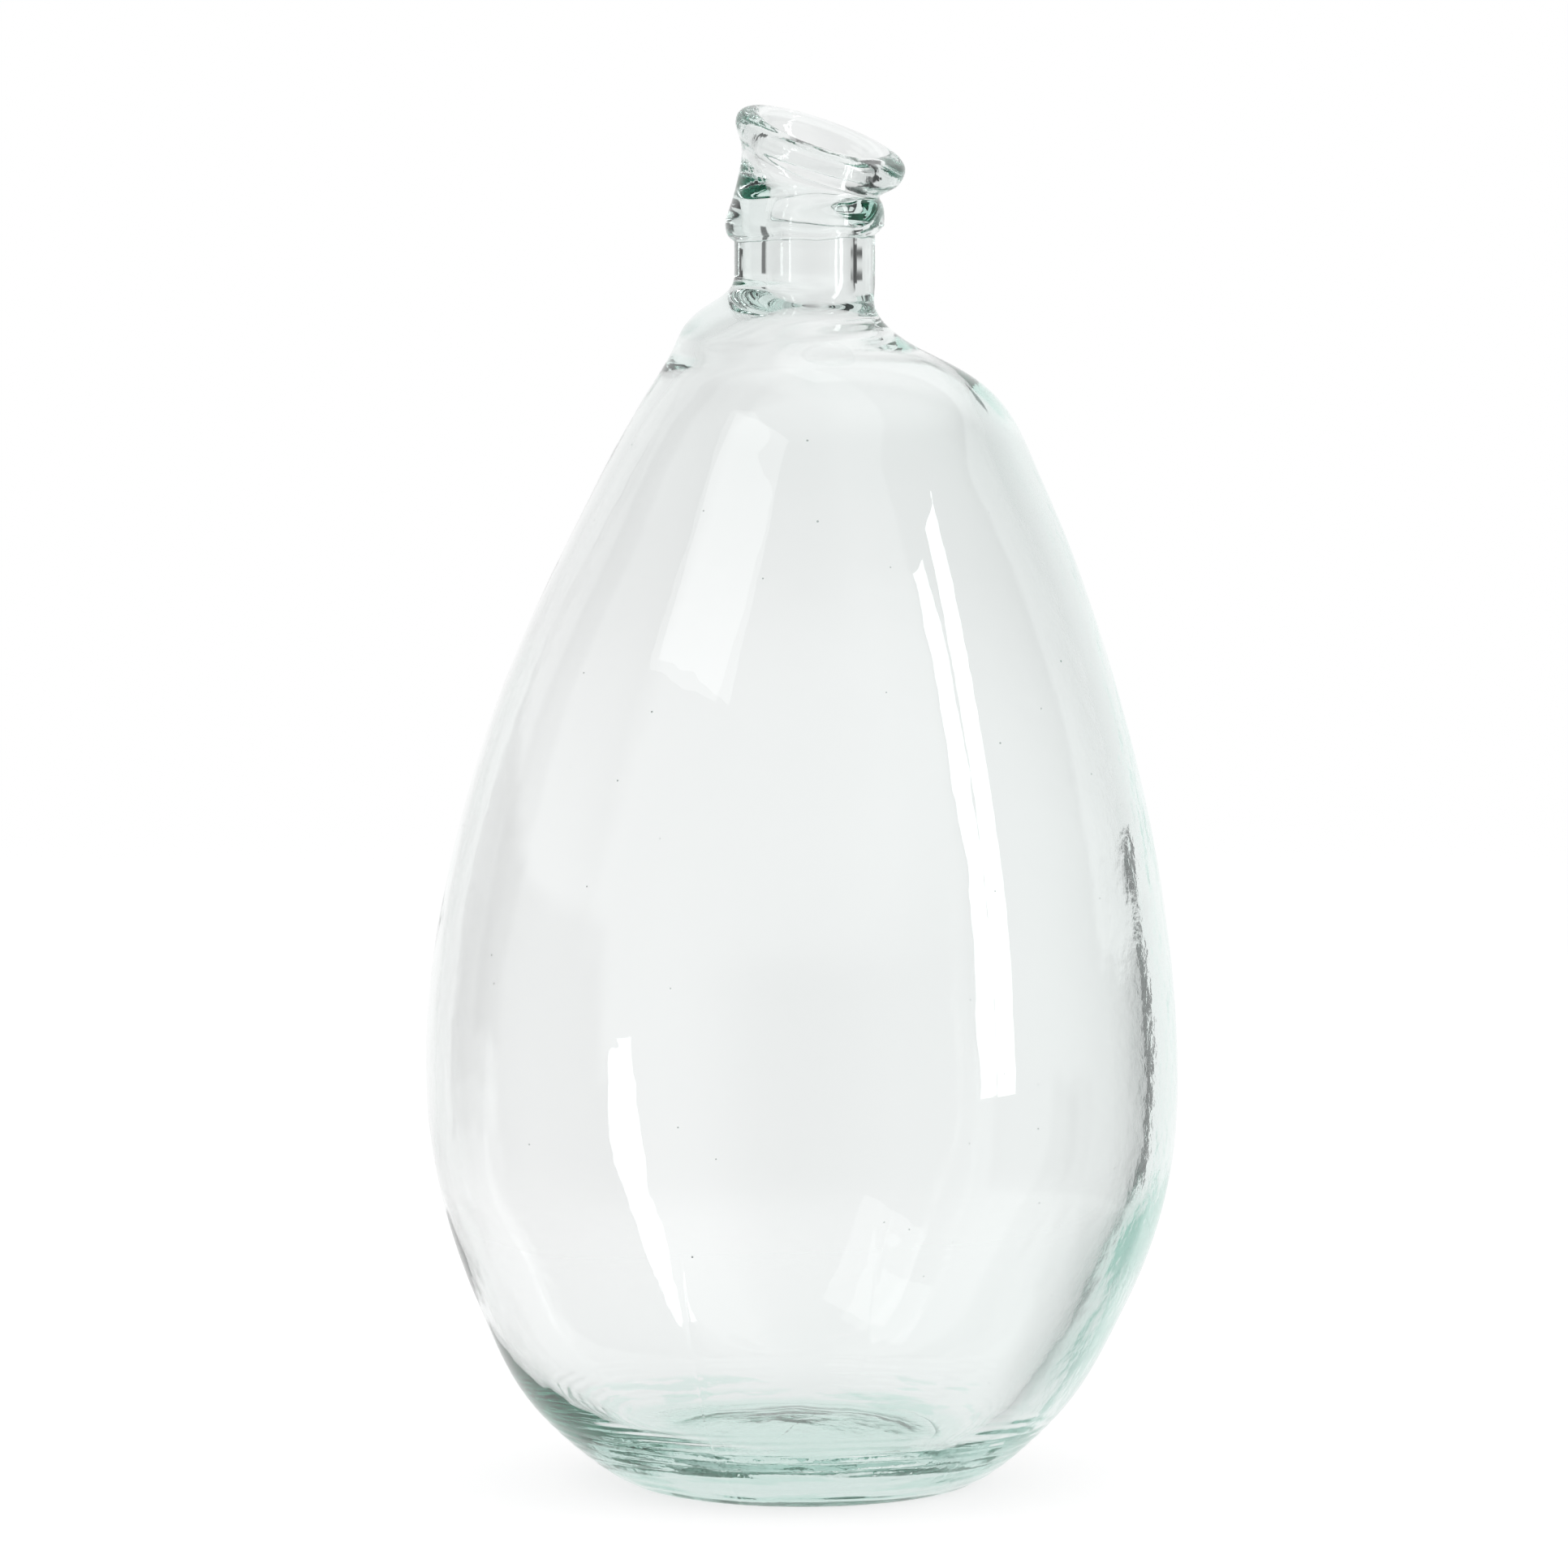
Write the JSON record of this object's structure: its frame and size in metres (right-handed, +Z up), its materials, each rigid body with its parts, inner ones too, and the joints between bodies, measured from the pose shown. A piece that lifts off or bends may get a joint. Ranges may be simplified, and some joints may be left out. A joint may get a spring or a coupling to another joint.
{
  "type": "glass carboy",
  "caption": "Egg-shaped clear glass carboy with an askew shoulder, straight neck, string ring and slanted flared mouth.",
  "frame": {"origin": "on the table, under the middle of the belly", "axes": "+Z up; +X towards the shoulder's bulge and the low side of the mouth; -Y is the front"},
  "size_m": [0.2571, 0.257, 0.4695],
  "materials": {
    "glass": "glossy fire-polished, faint green tint"
  },
  "bodies": {
    "root": {"glass_carboy": "glass"}
  },
  "joints": []
}
